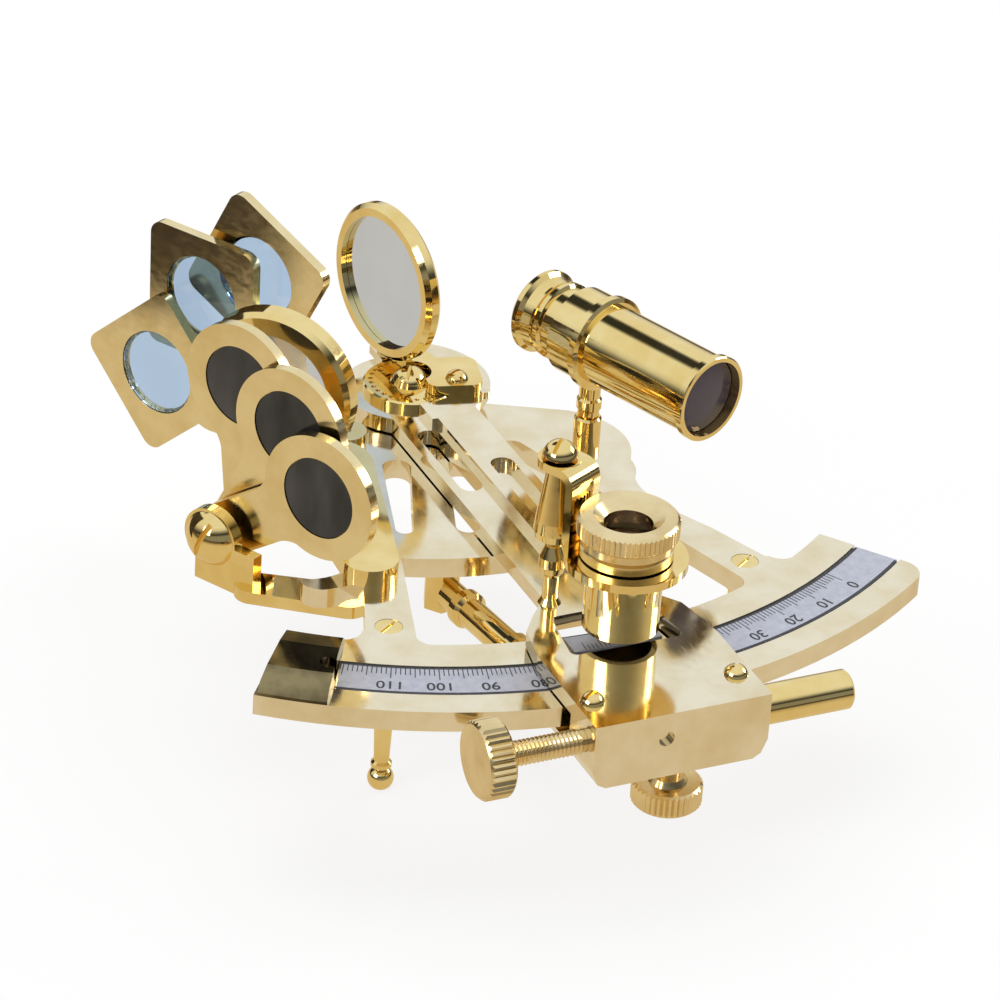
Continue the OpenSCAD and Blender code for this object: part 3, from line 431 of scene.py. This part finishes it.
def screw_thread():
    """A helical ridge round the tangent screw's shank, along x."""
    per_turn = 24
    steps = int((THREAD_END - THREAD_START) / THREAD_PITCH * per_turn)
    section = ((-0.3, THREAD_ROOT), (-0.06, THREAD_CREST), (0.06, THREAD_CREST), (0.3, THREAD_ROOT))
    axis_y, axis_z = TANGENT_AXIS
    bm = bmesh.new()
    rings = []
    for k in range(steps + 1):
        a = 2 * math.pi * k / per_turn
        x = THREAD_START + THREAD_PITCH * k / per_turn
        rings.append([bm.verts.new(at(x + dx, axis_y + r * math.cos(a), axis_z + r * math.sin(a)))
                      for dx, r in section])
    for p, q in zip(rings, rings[1:]):
        for j in range(4):
            bm.faces.new((p[j], p[(j + 1) % 4], q[(j + 1) % 4], q[j]))
    bm.faces.new(rings[0])
    bm.faces.new(list(reversed(rings[-1])))
    bmesh.ops.recalc_face_normals(bm, faces=bm.faces)
    return ride_on(mesh_object("tangent_thread", bm), "tangent_screw", KNURLED)


screw_thread()


# Camera: the photograph's place and direction of view, turned towards the middle of the object
AZIMUTH, ELEVATION = math.radians(-18.256), math.radians(29.614)
DISTANCE = 810.4 * MM
# How far the photograph's axis passes the drawing's origin, to the left and below
ASIDE, BELOW = 80.6 * MM, 5.9 * MM
AIM_HEIGHT = 33 * MM


def make_camera():
    back = Vector((math.sin(AZIMUTH) * math.cos(ELEVATION),
                   -math.cos(AZIMUTH) * math.cos(ELEVATION), math.sin(ELEVATION)))
    right = Vector((math.cos(AZIMUTH), math.sin(AZIMUTH), 0))
    up = back.cross(right)
    eye = DECK - ASIDE * right - BELOW * up + DISTANCE * back
    lo, hi = cad_box
    aim = Vector(((lo.x + hi.x) / 2, (lo.y + hi.y) / 2, AIM_HEIGHT))
    turn = back.rotation_difference((eye - aim).normalized())
    data = bpy.data.cameras.new("camera")
    data.sensor_width = 36
    data.lens = 172
    data.clip_start = 0.01
    data.clip_end = 20
    camera = bpy.data.objects.new("camera", data)
    bpy.context.scene.collection.objects.link(camera)
    facing = turn.to_matrix() @ Matrix((right, up, back)).transposed()
    camera.matrix_world = Matrix.Translation(eye) @ facing.to_4x4()
    bpy.context.scene.camera = camera


make_camera()


# Floor, world and lamps

FLOOR_HALF = 3.0
BACKDROP_SHARE = 0.8


def seen_directly(tree):
    """1 for a ray from the camera, straight or through glass; 0 for any other."""
    path = node(tree, "ShaderNodeLightPath")
    seen = node(tree, "ShaderNodeMath", operation="MAXIMUM")
    tree.links.new(path.outputs["Is Camera Ray"], seen.inputs[0])
    tree.links.new(path.outputs["Is Transmission Ray"], seen.inputs[1])
    return seen.outputs[0]


def make_floor():
    """A pale floor: white to the camera under its shadows, and warm and darker far off in the metal."""
    bm = bmesh.new()
    corners = ((-1, -1), (1, -1), (1, 1), (-1, 1))
    bm.faces.new([bm.verts.new((FLOOR_HALF * x, FLOOR_HALF * y, 0)) for x, y in corners])
    floor = mesh_object("floor", bm)
    bpy.context.scene.collection.objects.link(floor)
    m, tree, _ = new_material("pale_floor")
    tree.nodes.clear()
    out = node(tree, "ShaderNodeOutputMaterial")
    diffuse = node(tree, "ShaderNodeBsdfDiffuse")
    diffuse.inputs["Color"].default_value = (0.82, 0.82, 0.82, 1)
    white = node(tree, "ShaderNodeEmission")
    white.inputs["Color"].default_value = (1, 1, 1, 1)
    white.inputs["Strength"].default_value = 1.0
    far = node(tree, "ShaderNodeVectorMath", operation="LENGTH")
    tree.links.new(node(tree, "ShaderNodeTexCoord").outputs["Object"], far.inputs[0])
    warm = node(tree, "ShaderNodeEmission")
    tree.links.new(ramp(tree, far.outputs["Value"], [
        (0.0, (0.76, 0.66, 0.49)), (0.17, (0.74, 0.64, 0.47)),
        (0.34, (0.2, 0.15, 0.09)), (1.0, (0.08, 0.06, 0.04))]), warm.inputs["Color"])
    reflected = node(tree, "ShaderNodeMixShader")
    tree.links.new(node(tree, "ShaderNodeLightPath").outputs["Is Glossy Ray"], reflected.inputs["Fac"])
    tree.links.new(diffuse.outputs[0], reflected.inputs[1])
    tree.links.new(warm.outputs[0], reflected.inputs[2])
    share = node(tree, "ShaderNodeMath", operation="MULTIPLY")
    share.inputs[1].default_value = BACKDROP_SHARE
    tree.links.new(seen_directly(tree), share.inputs[0])
    final = node(tree, "ShaderNodeMixShader")
    tree.links.new(share.outputs[0], final.inputs["Fac"])
    tree.links.new(reflected.outputs[0], final.inputs[1])
    tree.links.new(white.outputs[0], final.inputs[2])
    tree.links.new(final.outputs[0], out.inputs["Surface"])
    floor.data.materials.append(m)


COOL_WHITE = (0.96, 0.98, 1.0)


def direction_ramp(tree, source, towards, stops):
    """Brightness over how far a ray points towards a direction: 0 is square to it, 1 is along it."""
    dot = node(tree, "ShaderNodeVectorMath", operation="DOT_PRODUCT")
    dot.inputs[1].default_value = Vector(towards).normalized()
    tree.links.new(source, dot.inputs[0])
    return ramp(tree, dot.outputs["Value"], [(place, scaled(COOL_WHITE, v)) for place, v in stops])


def times(tree, first, second):
    mix = node(tree, "ShaderNodeMix", data_type="RGBA", blend_type="MULTIPLY")
    mix.inputs["Factor"].default_value = 1.0
    tree.links.new(first, mix.inputs["A"])
    tree.links.new(second, mix.inputs["B"])
    return mix.outputs["Result"]


def make_world():
    """White to the camera; to the metal, a bright studio with a dim low band and one dark flag."""
    world = bpy.data.worlds.new("studio")
    bpy.context.scene.world = world
    world.use_nodes = True
    tree = world.node_tree
    tree.nodes.clear()
    out = node(tree, "ShaderNodeOutputWorld")
    ray = node(tree, "ShaderNodeTexCoord").outputs["Generated"]
    room = direction_ramp(tree, ray, (0.03, 0.3, 0.95), [
        (0.0, 0.3), (0.05, 0.22), (0.1, 0.05), (0.17, 0.08), (0.28, 0.35), (0.4, 0.8), (0.55, 1.0)])
    flag = direction_ramp(tree, ray, (-0.12, 0.69, 0.71), [
        (0.0, 1.0), (0.96, 1.0), (0.982, 0.04), (1.0, 0.04)])
    lit = node(tree, "ShaderNodeBackground")
    tree.links.new(times(tree, room, flag), lit.inputs["Color"])
    lit.inputs["Strength"].default_value = 0.98
    soft = node(tree, "ShaderNodeBackground")
    soft.inputs["Color"].default_value = (1, 1, 1, 1)
    soft.inputs["Strength"].default_value = 0.6
    plain = node(tree, "ShaderNodeBackground")
    plain.inputs["Color"].default_value = (1, 1, 1, 1)
    path = node(tree, "ShaderNodeLightPath")
    first = node(tree, "ShaderNodeMixShader")
    tree.links.new(path.outputs["Is Glossy Ray"], first.inputs["Fac"])
    tree.links.new(soft.outputs[0], first.inputs[1])
    tree.links.new(lit.outputs[0], first.inputs[2])
    final = node(tree, "ShaderNodeMixShader")
    tree.links.new(seen_directly(tree), final.inputs["Fac"])
    tree.links.new(first.outputs[0], final.inputs[1])
    tree.links.new(plain.outputs[0], final.inputs[2])
    tree.links.new(final.outputs[0], out.inputs["Surface"])


def softbox(name, place, size, power, target, mirrored):
    """A soft lamp; mirrored says whether the metal shows it."""
    data = bpy.data.lights.new(name, "AREA")
    data.shape = "RECTANGLE"
    data.size, data.size_y = size
    data.energy = power
    lamp = bpy.data.objects.new(name, data)
    lamp.location = place
    lamp.rotation_euler = (Vector(target) - Vector(place)).to_track_quat("-Z", "Y").to_euler()
    lamp.visible_glossy = mirrored
    bpy.context.scene.collection.objects.link(lamp)


def upright_card(x, near, far, height):
    return (x, near, 0), (x, far, 0), (x, far, height), (x, near, height)


def floor_card(half, near, far, z):
    return (-half, near, z), (half, near, z), (half, far, z), (-half, far, z)


def dark_card(name, corners, colour):
    """A card that only the polished metal sees: it gives the brass its dark bands."""
    bm = bmesh.new()
    bm.faces.new([bm.verts.new(c) for c in corners])
    card = mesh_object(name, bm)
    bpy.context.scene.collection.objects.link(card)
    m, tree, shader = new_material(name)
    grain = noise(tree, 30.0)
    tree.links.new(ramp(tree, grain, [(0.3, scaled(colour, 0.6)), (0.7, colour)]),
                   shader.inputs["Base Color"])
    shader.inputs["Roughness"].default_value = 0.8
    card.data.materials.append(m)
    card.visible_camera = False
    card.visible_diffuse = False
    card.visible_shadow = False
    card.visible_transmission = False


make_floor()
make_world()
dark_card("side_card", upright_card(-0.125, 0.004, 0.3, 0.12), (0.045, 0.03, 0.02))
dark_card("front_card", floor_card(0.5, -0.7, -0.3, 0.002), (0.05, 0.04, 0.03))
softbox("top_light", (0.1, 0.3, 0.9), (0.9, 0.7), 5.0, (0, -0.05, 0.03), False)
softbox("left_light", (-0.8, -0.3, 0.45), (0.5, 0.35), 3.0, (0, -0.05, 0.04), True)
softbox("right_light", (0.8, -0.1, 0.4), (0.4, 0.3), 2.0, (0, -0.05, 0.04), True)

scene = bpy.context.scene
scene.view_settings.view_transform = "Standard"
